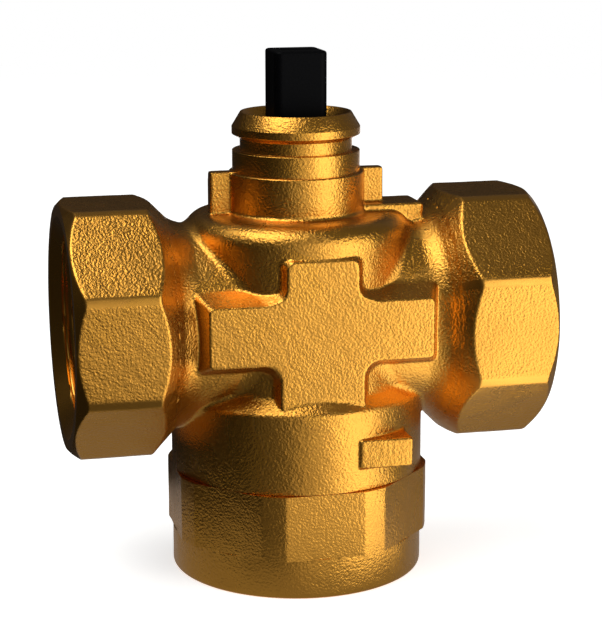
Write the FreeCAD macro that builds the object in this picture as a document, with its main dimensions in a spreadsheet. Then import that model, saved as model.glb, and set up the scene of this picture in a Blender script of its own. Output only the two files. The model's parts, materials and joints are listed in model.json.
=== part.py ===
import FreeCAD, Part
import math
import os
import Sketcher

# A three-way zone valve, millimetres.
# One brass forging carries three female ports: A on the left, B on the right and AB below.
# A bored ball turns under the black stem and joins AB to A or to B.
# Every sub-part is drawn about the crossing of the port axes, +Z up the stem and +X to port B,
# and is then lifted so that the valve stands on the end face of port AB.

SIZES = {
    # The port axes and the outside of the side ports
    "axis_height": 42.75,           # end face of port AB to the axis of ports A and B
    "port_reach": 39.6,             # stem axis to the end face of a side port
    "across_flats": 41.0,           # wrench size of all three ports
    "port_turned_radius": 21.88,    # the side ports' octagon corners are turned to this
    "port_end_bevel": 1.66,         # 45 degree bevel at a side port's end
    "port_inner_edge": 26.2,        # where the octagon ends and the cone to the run begins
    "run_radius": 16.5,             # the round run between the side ports
    # The upright core
    "barrel_radius": 18.9,
    "shoulder_top": 18.0,
    "shoulder_round": 3.5,
    "neck_round": 0.8,              # fillet at the foot of the neck
    "foot_radius": 21.3,            # the round body of port AB
    "foot_rim_drop": 11.9,          # axis down to the upper rim of port AB
    "flats_top_drop": 25.1,         # axis down to the start of the AB flats
    "flats_bottom_drop": 36.0,
    "side_flat": 21.0,              # stem axis to the two flats that stand out at the sides
    "side_flat_root": 18.4,
    "side_flat_bevel": 0.9,
    "crease_depth": 0.2,            # the line between the round part and the flats of port AB
    # The neck and the collar that the actuator clips on
    "neck_radius": 11.25,
    "neck_top": 24.8,
    "ring_radius": 10.6,
    "ring_top": 28.3,
    "groove_radius": 9.3,
    "groove_top": 30.3,
    "barb_radius": 10.65,
    "barb_low": 31.0,
    "barb_high": 32.2,
    "rim_radius": 9.2,
    "rim_top": 34.6,
    # Lugs and tongue that stop the actuator turning
    "lug_reach": 14.7,
    "lug_thickness": 2.5,
    "lug_top": 25.0,
    "lug_round": 0.5,
    "tongue_reach": 20.9,
    "tongue_width": 8.4,
    "tongue_top": 19.15,
    "tongue_round": 0.8,
    # The raised cross on the front
    "cross_face": 19.3,             # stem axis to the flat face of the cross
    "cross_draft": 22.0,            # degrees
    "cross_depth": 6.5,
    "arm_reach": 18.5,
    "arm_top": 6.05,
    "arm_bottom": 3.7,
    "arm_round": 0.7,
    "post_half_width": 5.9,
    "post_top": 12.9,
    "post_round": 1.2,
    "leg_half_width": 6.9,
    "leg_bottom": 13.0,
    "post_inner_round": 1.3,        # in the corners between the post and the arms
    "leg_inner_round": 2.5,
    # The plain rectangular boss on port AB
    "boss_face": 21.0,
    "boss_left": 5.65,
    "boss_right": 14.7,
    "boss_top_drop": 16.45,
    "boss_bottom_drop": 21.35,
    "boss_round": 0.8,
    "crease_round": 1.2,            # fillet between the run and the barrel
    # Port threads, cut to the minor diameter
    "thread_radius": 15.15,
    "relief_radius": 16.7,
    "relief_width": 2.0,
    "mouth_radius": 18.4,           # 45 degree lead-in at each port
    # Bores that hold the seats and their inserts
    "insert_radius": 12.6,
    "insert_outer": 23.4,
    "seat_stop": 17.6,
    "seat_radius": 11.05,
    "chamber_radius": 14.4,
    "chamber_top": 14.5,
    "foot_insert_radius": 15.0,
    "foot_insert_end": 24.4,
    # The stem's way out
    "flange_radius": 7.6,
    "flange_ledge": 17.0,
    "journal_radius": 6.0,
    "gland_radius": 8.0,
    "gland_floor": 20.0,
    "gland_mouth_radius": 8.9,
    "gland_mouth_depth": 1.6,
    # The ball and its seats
    "ball_radius": 14.0,
    "ball_bore": 8.0,
    "slot_width": 5.0,
    "slot_floor": 10.4,
    "seat_bore": 8.2,
    "seat_front": 10.1,
    "seat_back": 16.2,
    "seat_seal_radius": 10.35,
    "seat_seal_section": 0.65,
    "insert_bore": 8.4,
    "insert_flare": 1.9,
    "insert_lip": 0.9,
    "key_width": 3.2,
    "key_depth": 1.6,
    "nose_top_drop": 11.4,
    # The stem
    "flange_thickness": 1.8,
    "flange_low": 14.6,
    "tang_length": 9.6,
    "tang_low": 10.6,
    "journal_top": 32.0,
    "head_square": 8.8,
    "head_round": 1.2,
    "head_edge": 0.5,
    "stem_top": 44.7,
    "mark_length": 5.4,
    "mark_width": 1.4,
    "mark_depth": 1.1,
    "stem_seal_low": 24.0,
    "stem_seal_pitch": 2.9,
    "seal_section": 0.6,            # half the thickness of the stem and gland rings
    "seal_groove": 1.7,
    # The gland
    "gland_top": 30.7,
    "gland_seal_height": 22.3,
    "wiper_radius": 7.2,
    "wiper_depth": 1.7,
    "wiper_lip": 0.4,
    "clip_groove_radius": 8.8,
    "clip_height": 30.8,
    "clip_thickness": 1.0,
    "clip_width": 1.4,
    "clip_gap": 5.0,
    "clip_ear": 1.1,
    "clip_hole": 0.55,
    # Clearances
    "running_gap": 0.06,            # turning parts, on the radius
    "fitted_gap": 0.05,             # rings and inserts in their bores
    "end_gap": 0.08,                # end play along an axis
    "slide_gap": 0.1,               # the tang in the ball's slot
    "flange_gap": 0.2,              # round the stem's flange
}

OCTANT = math.tan(math.radians(22.5))   # half a side of an octagon over its apothem
DIAGONAL = math.cos(math.radians(45))
CLIP_EAR_TURN = math.radians(25)        # from the middle of the clip's gap to each ear
TURNS = {
    "x": FreeCAD.Rotation(FreeCAD.Vector(0, 1, 0), 90),
    "y": FreeCAD.Rotation(FreeCAD.Vector(1, 0, 0), -90),
    "z": FreeCAD.Rotation(),
}


class Size:
    """A length that carries its value and the sheet expression that gives it."""

    def __init__(self, value, text):
        self.value = value
        self.text = text

    def join(self, mark, other, value):
        return Size(value, "(%s %s %s)" % (self.text, mark, text_of(other)))

    def __add__(self, other):
        return self.join("+", other, self.value + value_of(other))

    def __sub__(self, other):
        return self.join("-", other, self.value - value_of(other))

    def __mul__(self, other):
        return self.join("*", other, self.value * value_of(other))

    def __truediv__(self, other):
        return self.join("/", other, self.value / value_of(other))

    def __neg__(self):
        return Size(-self.value, "(0 - %s)" % self.text)


def value_of(size):
    """The number behind a size, or the number itself."""
    return size.value if isinstance(size, Size) else float(size)


def text_of(size):
    """The expression behind a size, or the number written out."""
    return size.text if isinstance(size, Size) else "%.9g" % size


class Sizes:
    """The driving dimensions, each kept once in the spreadsheet."""

    def __init__(self, doc, table):
        self.sheet = doc.addObject("Spreadsheet::Sheet", "sizes")
        for row, (alias, value) in enumerate(table.items(), 1):
            self.sheet.set("A%d" % row, alias.replace("_", " "))
            self.sheet.set("B%d" % row, str(value))
            self.sheet.setAlias("B%d" % row, alias)
            setattr(self, alias, Size(float(value), "sizes." + alias))


doc = FreeCAD.newDocument("three_way_zone_valve")
s = Sizes(doc, SIZES)
doc.recompute()
finished = []


# Sketches

def bind(item, path, size):
    """Tie one property to a size."""
    item.setExpression(path, text_of(size))


def new_sketch(body, name, role, offset=None):
    """A sketch on one of the body's own origin planes, moved along its normal."""
    plane = next(item for item in body.Origin.OriginFeatures if item.Role == role)
    sketch = body.newObject("Sketcher::SketchObject", name)
    sketch.AttachmentSupport = [(plane, "")]
    sketch.MapMode = "FlatFace"
    if offset is not None:
        bind(sketch, "AttachmentOffset.Base.z", offset)
    return sketch


def pin(sketch, edge, end, point):
    """Hold one end of an edge at its two bound coordinates. A plain 0 is on the axis."""
    for kind, size, axis in (("DistanceX", point[0], -2), ("DistanceY", point[1], -1)):
        if isinstance(size, Size):
            index = sketch.addConstraint(Sketcher.Constraint(kind, -1, 1, edge, end, size.value))
            bind(sketch, "Constraints[%d]" % index, size)
        else:
            sketch.addConstraint(Sketcher.Constraint("PointOnObject", edge, end, axis))


def vector(point):
    return FreeCAD.Vector(value_of(point[0]), value_of(point[1]), 0)


def toward(corner, neighbour, reach):
    """The point a given reach from a corner, along its side that lies on an axis direction."""
    aim = vector(neighbour) - vector(corner)
    x, y = corner[:2]
    if abs(aim.x) > abs(aim.y):
        return (x + reach if aim.x > 0 else x - reach, y)
    return (x, y + reach if aim.y > 0 else y - reach)


def quarter(sketch, corner, points):
    """The arc that rounds a square corner between its two tangent points."""
    start, end = vector(points[0]), vector(points[1])
    centre = start + end - vector(corner)
    onward = (start - centre).cross(end - centre).z > 0
    ends = (start, end) if onward else (end, start)
    angles = [math.atan2(point.y - centre.y, point.x - centre.x) for point in ends]
    full = Part.Circle(centre, FreeCAD.Vector(0, 0, 1), corner[2].value)
    arc = sketch.addGeometry(Part.ArcOfCircle(full, angles[0], angles[1]))
    index = sketch.addConstraint(Sketcher.Constraint("Radius", arc, corner[2].value))
    bind(sketch, "Constraints[%d]" % index, corner[2])
    return (arc, 1, 2, points[0]) if onward else (arc, 2, 1, points[0])


def outline(sketch, corners):
    """A closed chain of lines through the corners. A third value rounds a square corner."""
    ends = []
    for index, corner in enumerate(corners):
        if len(corner) == 2:
            ends.append([corner])
        else:
            after = corners[(index + 1) % len(corners)]
            ends.append([toward(corner, corners[index - 1], corner[2]), toward(corner, after, corner[2])])
    chain = []
    for index, points in enumerate(ends):
        if len(points) == 2:
            chain.append(quarter(sketch, corners[index], points))
        following = ends[(index + 1) % len(ends)][0]
        line = sketch.addGeometry(Part.LineSegment(vector(points[-1]), vector(following)))
        chain.append((line, 1, 2, points[-1]))
    for index, (edge, first, _, point) in enumerate(chain):
        before, _, last, _ = chain[index - 1]
        sketch.addConstraint(Sketcher.Constraint("Coincident", before, last, edge, first))
        pin(sketch, edge, first, point)


def circle(sketch, radius):
    """A circle of a bound radius about the sketch's origin."""
    edge = sketch.addGeometry(Part.Circle(FreeCAD.Vector(), FreeCAD.Vector(0, 0, 1), radius.value))
    index = sketch.addConstraint(Sketcher.Constraint("Radius", edge, radius.value))
    bind(sketch, "Constraints[%d]" % index, radius)
    sketch.addConstraint(Sketcher.Constraint("Coincident", edge, 3, -1, 1))


def octagon(sketch, apothem):
    """A regular octagon with flats square to the axes."""
    side = apothem * OCTANT
    outline(sketch, [(apothem, -side), (apothem, side), (side, apothem), (-side, apothem),
                     (-apothem, side), (-apothem, -side), (-side, -apothem), (side, -apothem)])


def rectangle(sketch, left, right, low, high, *rounding):
    """A rectangle, rounded at its corners where a radius is given."""
    outline(sketch, [(left, low, *rounding), (right, low, *rounding),
                     (right, high, *rounding), (left, high, *rounding)])


# Features of a body

def turn(body, kind, name, corners, axis="V_Axis"):
    """A full Revolution or Groove of an outline in the XZ plane, about Z, or about X with H_Axis."""
    sketch = new_sketch(body, name + "_profile", "XZ_Plane")
    outline(sketch, corners)
    feature = body.newObject("PartDesign::" + kind, name)
    feature.Profile = sketch
    feature.ReferenceAxis = (sketch, [axis])
    feature.Angle = 360
    return feature


def extrude(body, kind, name, sketch, length, reverse=False, draft=None):
    """A Pad or Pocket of a bound length, with draft where the forging has it."""
    feature = body.newObject("PartDesign::" + kind, name)
    feature.Profile = sketch
    feature.Length = length.value
    feature.Reversed = reverse
    bind(feature, "Length", length)
    if draft is not None:
        feature.TaperAngle = draft.value
        bind(feature, "TaperAngle", draft)
    return feature


def round_edges(body, name, radius, chosen):
    """A fillet on those edges of the body so far that pass a test."""
    doc.recompute()
    base = body.Tip
    names = ["Edge%d" % number for number, edge in enumerate(base.Shape.Edges, 1) if chosen(edge)]
    feature = body.newObject("PartDesign::Fillet", name)
    feature.Base = (base, names)
    feature.Radius = radius.value
    bind(feature, "Radius", radius)


# Plain solids

def lift(item):
    """Raise a finished sub-part so that the valve stands on port AB."""
    bind(item, "Placement.Base.z", s.axis_height)
    finished.append(item)


def cylinder(name, radius, low, high, axis="z"):
    """A cylinder between two bound stations of one axis."""
    item = doc.addObject("Part::Cylinder", name)
    item.Placement.Rotation = TURNS[axis]
    bind(item, "Radius", radius)
    bind(item, "Height", -low + high)
    bind(item, "Placement.Base." + axis, low)
    return item


def box(name, lows, highs):
    """A box between two bound corners."""
    item = doc.addObject("Part::Box", name)
    for side, axis, low, high in zip(("Length", "Width", "Height"), "xyz", lows, highs):
        bind(item, side, -low + high)
        bind(item, "Placement.Base." + axis, low)
    return item


def fuse(name, shapes):
    """All the shapes as one."""
    item = doc.addObject("Part::MultiFuse", name)
    item.Shapes = shapes
    return item


def cut(name, base, tools):
    """The base with every tool taken away."""
    item = doc.addObject("Part::Cut", name)
    item.Base = base
    item.Tool = tools[0] if len(tools) == 1 else fuse(name + "_tools", tools)
    return item


def tube(name, bore, radius, low, high):
    """A plain upright ring between two heights."""
    outside = cylinder(name + "_outside", radius, low, high)
    return cut(name, outside, [cylinder(name + "_bore", bore, low, high)])


def seal_ring(name, radius, section, station, axis="z"):
    """A round-section ring about an axis at a bound station."""
    item = doc.addObject("Part::Torus", name)
    item.Placement.Rotation = TURNS[axis]
    bind(item, "Radius1", radius)
    bind(item, "Radius2", section)
    if axis == "x":
        bind(item, "Placement.Base.x", station)
        bind(item, "Placement.Base.z", s.axis_height)
    else:
        bind(item, "Placement.Base.z", s.axis_height + station)
    finished.append(item)


# The forging

def both_sides(right):
    """A profile along X and its mirror image, as one closed outline."""
    return right + [(-x, radius) for x, radius in reversed(right)]


def runs(body):
    """The round run with an octagonal socket at each end, and a 45 degree cone behind each socket."""
    cone_foot = s.port_inner_edge - (s.port_turned_radius - s.run_radius)
    turn(body, "Revolution", "runs", both_sides([
        (s.port_reach, 0), (s.port_reach, s.port_turned_radius - s.port_end_bevel),
        (s.port_reach - s.port_end_bevel, s.port_turned_radius),
        (s.port_inner_edge, s.port_turned_radius), (cone_foot, s.run_radius)]), "H_Axis")
    flats = new_sketch(body, "port_flats_outline", "YZ_Plane", -s.port_reach)
    octagon(flats, s.across_flats / 2)
    circle(flats, s.across_flats)
    extrude(body, "Pocket", "port_flats", flats, s.port_reach * 2, reverse=True)


def core(body):
    """Port AB, the barrel, the shoulder, the neck and the barbed collar, turned about the stem axis."""
    cone_top = s.foot_rim_drop - (s.foot_radius - s.barrel_radius)
    turn(body, "Revolution", "core", [
        (0, -s.axis_height), (s.foot_radius, -s.axis_height), (s.foot_radius, -s.foot_rim_drop),
        (s.barrel_radius, -cone_top), (s.barrel_radius, s.shoulder_top, s.shoulder_round),
        (s.neck_radius, s.shoulder_top, s.neck_round), (s.neck_radius, s.neck_top),
        (s.ring_radius, s.neck_top),
        (s.ring_radius, s.ring_top), (s.groove_radius, s.ring_top), (s.groove_radius, s.groove_top),
        (s.barb_radius, s.barb_low), (s.barb_radius, s.barb_high), (s.rim_radius, s.rim_top),
        (0, s.rim_top)])
    run, barrel = value_of(s.run_radius), value_of(s.barrel_radius)

    def between(edge):
        middle = edge.valueAt((edge.FirstParameter + edge.LastParameter) / 2)
        misses = math.hypot(middle.y, middle.z) - run, math.hypot(middle.x, middle.y) - barrel
        return max(map(abs, misses)) < 0.001

    round_edges(body, "creases", s.crease_round, between)


def foot_flats(body):
    """Flats on port AB. The two at the sides stand out beyond the round part."""
    apothem = s.across_flats / 2
    flats = new_sketch(body, "foot_flats_outline", "XY_Plane", -s.flats_bottom_drop)
    octagon(flats, apothem)
    circle(flats, s.across_flats)
    extrude(body, "Pocket", "foot_flats", flats, s.flats_bottom_drop - s.flats_top_drop, reverse=True)
    corner = apothem / DIAGONAL - s.side_flat
    inner = s.side_flat_root
    sides = new_sketch(body, "side_flats_outline", "XY_Plane", -s.flats_bottom_drop)
    for side in (1, -1):
        outline(sides, [
            (s.side_flat * side, -corner), (s.side_flat * side, corner),
            (inner * side, apothem / DIAGONAL - inner), (inner * side, inner - apothem / DIAGONAL)])
    extrude(body, "Pad", "side_flats", sides, s.flats_bottom_drop - s.flats_top_drop)
    rim = s.foot_radius
    out = rim + s.side_flat_bevel * 2
    top = -s.flats_top_drop
    bottom = -s.flats_bottom_drop
    rise = s.side_flat_bevel
    turn(body, "Groove", "side_flat_tops", [(rim, top), (out, top), (out, top - rise * 2)])
    turn(body, "Groove", "side_flat_bottoms", [(rim, bottom), (out, bottom + rise * 2), (out, bottom)])
    turn(body, "Groove", "crease", [
        (rim, top + s.crease_depth), (rim, top - s.crease_depth), (rim - s.crease_depth, top)])


def cross(body):
    """The raised cross: an arm bar, a post above it and a leg below, each widening inward by the draft."""
    plane = s.cross_face
    bars = (
        ("arms", s.arm_reach, -s.arm_bottom, s.arm_top, s.arm_round),
        ("post", s.post_half_width, -s.arm_bottom, s.post_top, s.post_round),
        ("leg", s.leg_half_width, -s.leg_bottom, s.arm_top, s.arm_round))
    for name, half, low, high, rounding in bars:
        sketch = new_sketch(body, name + "_outline", "XZ_Plane", plane)
        rectangle(sketch, -half, half, low, high, rounding)
        extrude(body, "Pad", name, sketch, s.cross_depth, reverse=True, draft=s.cross_draft)
    face = -value_of(s.cross_face)
    for name, half, height, radius in (
            ("post_inner_corners", s.post_half_width, s.arm_top, s.post_inner_round),
            ("leg_inner_corners", s.leg_half_width, -s.arm_bottom, s.leg_inner_round)):
        x, z = value_of(half), value_of(height)

        def inner(edge):
            starts = [abs(abs(end.X) - x) + abs(end.Y - face) + abs(end.Z - z) for end in edge.Vertexes]
            return min(starts) < 0.01 and edge.BoundBox.YLength > 0.1

        round_edges(body, name, radius, inner)


def boss(body):
    """The plain rectangular boss on the front of port AB."""
    sketch = new_sketch(body, "boss_outline", "XZ_Plane", s.boss_face - s.cross_depth)
    rectangle(sketch, s.boss_left, s.boss_right, -s.boss_bottom_drop, -s.boss_top_drop, s.boss_round)
    extrude(body, "Pad", "boss", sketch, s.cross_depth)


def stops(body):
    """A lug each side of the neck, and the tongue on the run to port B."""
    half = s.lug_thickness / 2
    for name, x_side in (("left", -1), ("right", 1)):
        sketch = new_sketch(body, name + "_lug_outline", "XZ_Plane", -half)
        outline(sketch, [
            (s.groove_radius * x_side, s.shoulder_top - half), (s.lug_reach * x_side, s.shoulder_top - half),
            (s.lug_reach * x_side, s.lug_top, s.lug_round), (s.groove_radius * x_side, s.lug_top)])
        extrude(body, "Pad", name + "_lug", sketch, s.lug_thickness)
    sketch = new_sketch(body, "tongue_outline", "XY_Plane", s.chamber_top)
    half = s.tongue_width / 2
    outline(sketch, [
        (s.groove_radius, -half), (s.tongue_reach, -half, s.tongue_round),
        (s.tongue_reach, half, s.tongue_round), (s.groove_radius, half)])
    extrude(body, "Pad", "tongue", sketch, s.tongue_top - s.chamber_top)


def port_bores(body):
    """Each side port: lead-in, thread bore, relief, the insert's bore and the seat's bore."""
    thread_end = s.insert_outer + s.relief_width
    turn(body, "Groove", "port_bores", both_sides([
        (s.port_reach, 0), (s.port_reach, s.mouth_radius),
        (s.port_reach - (s.mouth_radius - s.thread_radius), s.thread_radius),
        (thread_end, s.thread_radius), (thread_end, s.relief_radius),
        (s.insert_outer, s.relief_radius), (s.insert_outer, s.insert_radius),
        (s.seat_stop, s.insert_radius), (s.seat_stop, s.seat_radius)]), "H_Axis")


def upright_bores(body):
    """Port AB and the ball chamber from below, the stem hole, and the gland from above."""
    thread_end = -s.foot_insert_end - s.relief_width
    stem_hole = s.journal_radius + s.running_gap
    turn(body, "Groove", "chamber", [
        (0, -s.axis_height), (s.mouth_radius, -s.axis_height),
        (s.thread_radius, s.mouth_radius - s.thread_radius - s.axis_height),
        (s.thread_radius, thread_end), (s.relief_radius, thread_end),
        (s.relief_radius, -s.foot_insert_end), (s.foot_insert_radius, -s.foot_insert_end),
        (s.foot_insert_radius, -s.seat_stop), (s.chamber_radius, -s.seat_stop),
        (s.chamber_radius, s.chamber_top), (s.flange_radius, s.chamber_top),
        (s.flange_radius, s.flange_ledge), (stem_hole, s.flange_ledge),
        (stem_hole, s.rim_top), (0, s.rim_top)])
    clip_top = s.clip_height + s.clip_thickness + s.end_gap
    turn(body, "Groove", "gland_bore", [
        (0, s.gland_floor), (s.gland_radius, s.gland_floor), (s.gland_radius, s.clip_height),
        (s.clip_groove_radius, s.clip_height), (s.clip_groove_radius, clip_top),
        (s.gland_radius, clip_top), (s.gland_radius, s.rim_top - s.gland_mouth_depth),
        (s.gland_mouth_radius, s.rim_top), (0, s.rim_top)])


def valve_body():
    """The brass forging with its machined bores."""
    body = doc.addObject("PartDesign::Body", "valve_body")
    runs(body)
    core(body)
    foot_flats(body)
    cross(body)
    boss(body)
    stops(body)
    port_bores(body)
    upright_bores(body)
    lift(body)


# The ball and what holds it

def diverter_ball():
    """The ball: a passage down, one toward A and one toward the front, and the stem's slot on top."""
    far = s.ball_radius + s.end_gap
    half = s.slot_width / 2
    tools = [
        doc.addObject("Part::Sphere", "ball_passage_turn"),
        cylinder("ball_passage_a", s.ball_bore, -far, 0, "x"),
        cylinder("ball_passage_b", s.ball_bore, -far, 0, "y"),
        cylinder("ball_passage_ab", s.ball_bore, -far, 0, "z"),
        box("ball_slot", (-far, -half, s.slot_floor), (far, half, far))]
    bind(tools[0], "Radius", s.ball_bore)
    sphere = doc.addObject("Part::Sphere", "ball_outside")
    bind(sphere, "Radius", s.ball_radius)
    lift(cut("diverter_ball", sphere, tools))


def placed(axis, side, stations):
    """Map (distance from the ball's centre, radius) to an outline along X or Z."""
    if axis == "x":
        return [(reach * side, radius) for reach, radius in stations]
    return [(radius, reach * side) for reach, radius in stations]


def seat(name, axis, side):
    """A seat ring, hollowed to the ball and bevelled to clear its neighbours."""
    body = doc.addObject("PartDesign::Body", name)
    outside = s.seat_radius - s.fitted_gap
    turn(body, "Revolution", name + "_ring", placed(axis, side, [
        (s.seat_front, s.seat_bore), (s.seat_front, s.seat_front - s.slide_gap),
        (outside + s.slide_gap, outside), (s.seat_back, outside), (s.seat_back, s.seat_bore)]),
        {"x": "H_Axis", "z": "V_Axis"}[axis])
    hollow = body.newObject("PartDesign::SubtractiveSphere", name + "_hollow")
    bind(hollow, "Radius", s.ball_radius + s.running_gap)
    lift(body)


def key_slots(body, name, axis, side, outer, radius):
    """Two slots for the fitter's key across an insert's outer face."""
    half = s.key_width / 2
    floor = (outer - s.key_depth) * side
    sketch = new_sketch(body, name + "_key_outline", {"x": "YZ_Plane", "z": "XY_Plane"}[axis], floor)
    rectangle(sketch, -radius, radius, -half, half)
    extrude(body, "Pocket", name + "_key", sketch, s.key_depth, reverse=side > 0)


def side_insert(name, side):
    """The brass insert that holds the seat of a side port."""
    body = doc.addObject("PartDesign::Body", name)
    lip = s.insert_bore + s.insert_lip
    outside = s.insert_radius - s.fitted_gap
    turn(body, "Revolution", name + "_ring", placed("x", side, [
        (s.seat_back + s.end_gap, s.insert_bore), (s.seat_back + s.end_gap, lip),
        (s.seat_stop, lip), (s.seat_stop, outside), (s.insert_outer, outside),
        (s.insert_outer, s.insert_bore + s.insert_flare),
        (s.insert_outer - s.insert_flare, s.insert_bore)]), "H_Axis")
    key_slots(body, name, "x", side, s.insert_outer, s.insert_radius)
    lift(body)


def foot_insert():
    """The brass insert of port AB, with a nose that carries the lower seat."""
    body = doc.addObject("PartDesign::Body", "seat_insert_ab")
    lip = s.insert_bore + s.insert_lip
    nose = s.chamber_radius - s.fitted_gap
    outside = s.foot_insert_radius - s.fitted_gap
    flare = s.insert_flare * 2
    turn(body, "Revolution", "foot_insert_ring", placed("z", -1, [
        (s.seat_back + s.end_gap, s.insert_bore), (s.seat_back + s.end_gap, lip),
        (s.seat_stop, lip), (s.seat_stop, s.seat_radius), (s.nose_top_drop, s.seat_radius),
        (s.nose_top_drop, nose), (s.seat_stop, nose), (s.seat_stop, outside),
        (s.foot_insert_end, outside), (s.foot_insert_end, s.insert_bore + flare),
        (s.foot_insert_end - flare, s.insert_bore)]))
    key_slots(body, "foot_insert", "z", -1, s.foot_insert_end, s.foot_insert_radius)
    lift(body)


def seats_and_inserts():
    """Three seats, each with a rubber ring behind it and an insert that holds it."""
    ring_station = (s.seat_back + s.seat_stop) / 2
    for port, axis, side in (("a", "x", -1), ("b", "x", 1), ("ab", "z", -1)):
        seat("seat_" + port, axis, side)
        seal_ring("seat_o_ring_" + port, s.seat_seal_radius, s.seat_seal_section, ring_station * side, axis)
    side_insert("seat_insert_a", -1)
    side_insert("seat_insert_b", 1)
    foot_insert()


# The stem and its gland

def seal_heights():
    """The two rubber rings on the stem."""
    return [s.stem_seal_low, s.stem_seal_low + s.stem_seal_pitch]


def seal_notch(surface, rim, height):
    """Four corners of a groove in a turned surface, as deep as a ring is thick below the rim."""
    floor = rim - s.seal_section * 2
    half = s.seal_groove / 2
    return [(surface, height - half), (floor, height - half), (floor, height + half), (surface, height + half)]


def stem():
    """The moulded stem: tang, flange, ringed journal and square head with a mark on top."""
    body = doc.addObject("PartDesign::Body", "stem")
    flange = s.flange_radius - s.flange_gap
    flange_high = s.flange_low + s.flange_thickness
    profile = [(0, s.flange_low), (flange, s.flange_low), (flange, flange_high), (s.journal_radius, flange_high)]
    for height in seal_heights():
        profile += seal_notch(s.journal_radius, s.journal_radius - s.fitted_gap, height)
    turn(body, "Revolution", "journal", profile + [(s.journal_radius, s.journal_top), (0, s.journal_top)])
    tang = new_sketch(body, "tang_outline", "XY_Plane", s.tang_low)
    half_length = s.tang_length / 2
    half_width = s.slot_width / 2 - s.slide_gap
    rectangle(tang, -half_length, half_length, -half_width, half_width)
    extrude(body, "Pad", "tang", tang, s.flange_low - s.tang_low)
    half = s.head_square / 2
    head = new_sketch(body, "head_outline", "XY_Plane", s.journal_top)
    rectangle(head, -half, half, -half, half, s.head_round)
    extrude(body, "Pad", "head", head, s.stem_top - s.journal_top)
    top = value_of(s.stem_top) - 0.01
    round_edges(body, "head_edges", s.head_edge, lambda edge: edge.BoundBox.ZMin > top)
    mark = new_sketch(body, "mark_outline", "XY_Plane", s.stem_top - s.mark_depth)
    rectangle(mark, -s.mark_length / 2, s.mark_length / 2, -s.mark_width / 2, s.mark_width / 2)
    extrude(body, "Pocket", "mark", mark, s.mark_depth, reverse=True)
    lift(body)


def gland_bushing():
    """The brass bush that guides the stem and carries the wiper."""
    body = doc.addObject("PartDesign::Body", "gland_bushing")
    outside = s.gland_radius - s.fitted_gap
    bore = s.journal_radius + s.running_gap
    wiper_floor = s.gland_top - s.wiper_depth
    turn(body, "Revolution", "bush", [
        (bore, s.gland_floor), (outside, s.gland_floor),
        *seal_notch(outside, outside, s.gland_seal_height),
        (outside, s.gland_top), (s.wiper_radius, s.gland_top), (s.wiper_radius, wiper_floor),
        (bore, wiper_floor)])
    lift(body)


def gland_parts():
    """The rubber rings, the wiper, the thrust washer and the clip that keeps the bush in."""
    inside = s.fitted_gap / 2
    for place, height in zip(("lower", "upper"), seal_heights()):
        seal_ring("stem_o_ring_" + place, s.journal_radius - s.seal_section - inside, s.seal_section, height)
    seal_ring("bushing_o_ring", s.gland_radius - s.seal_section - inside, s.seal_section, s.gland_seal_height)
    bore = s.journal_radius + s.running_gap
    wiper = doc.addObject("PartDesign::Body", "stem_wiper")
    floor = s.gland_top - s.wiper_depth
    turn(wiper, "Revolution", "wiper_ring", [
        (bore, floor), (s.wiper_radius - s.fitted_gap, floor),
        (s.wiper_radius - s.fitted_gap, s.gland_top - s.wiper_lip),
        (bore + s.wiper_lip, s.gland_top), (bore, s.gland_top)])
    lift(wiper)
    washer_low = s.flange_low + s.flange_thickness + s.fitted_gap
    lift(tube("thrust_washer", bore, s.flange_radius - s.flange_gap, washer_low,
              s.flange_ledge - s.fitted_gap))


def retaining_clip():
    """An open spring clip with an eyed ear each side of its gap."""
    top = s.clip_height + s.clip_thickness
    outside = s.clip_groove_radius - s.fitted_gap
    inside = outside - s.clip_width
    half = s.clip_gap / 2
    ring = tube("clip_ring", inside, outside, s.clip_height, top)
    gap = box("clip_gap_space", (-half, -half, s.clip_height), (half, outside, top))
    ear_reach = outside - s.clip_ear
    ears, eyes = [], []
    for name, x_side in (("left", -1), ("right", 1)):
        for kind, radius, found in (("ear", s.clip_ear, ears), ("eye", s.clip_hole, eyes)):
            item = cylinder("clip_%s_%s" % (name, kind), radius, s.clip_height, top)
            bind(item, "Placement.Base.x", ear_reach * (math.sin(CLIP_EAR_TURN) * x_side))
            bind(item, "Placement.Base.y", ear_reach * math.cos(CLIP_EAR_TURN))
            found.append(item)
    whole = fuse("clip_blank", [cut("clip_open_ring", ring, [gap])] + ears)
    lift(cut("retaining_clip", whole, eyes))


def write_parts():
    """Check every object and every finished solid, then write one file for each sub-part."""
    doc.recompute()
    bad = [item.Name for item in doc.Objects if "Invalid" in item.State or "Error" in item.State]
    bad += [item.Name for item in finished if item.Shape.isNull() or not item.Shape.isValid()]
    if bad:
        raise RuntimeError("not built: " + ", ".join(bad))
    os.makedirs("parts", exist_ok=True)
    for item in finished:
        item.Shape.exportStep("parts/%s.step" % item.Label)
        print("%s: %d solid, %.1f mm3" % (item.Label, len(item.Shape.Solids), item.Shape.Volume))


valve_body()
diverter_ball()
seats_and_inserts()
stem()
gland_bushing()
gland_parts()
retaining_clip()
write_parts()
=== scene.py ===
import json
import math

import bpy
import numpy as np
from mathutils import Matrix, Vector


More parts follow.
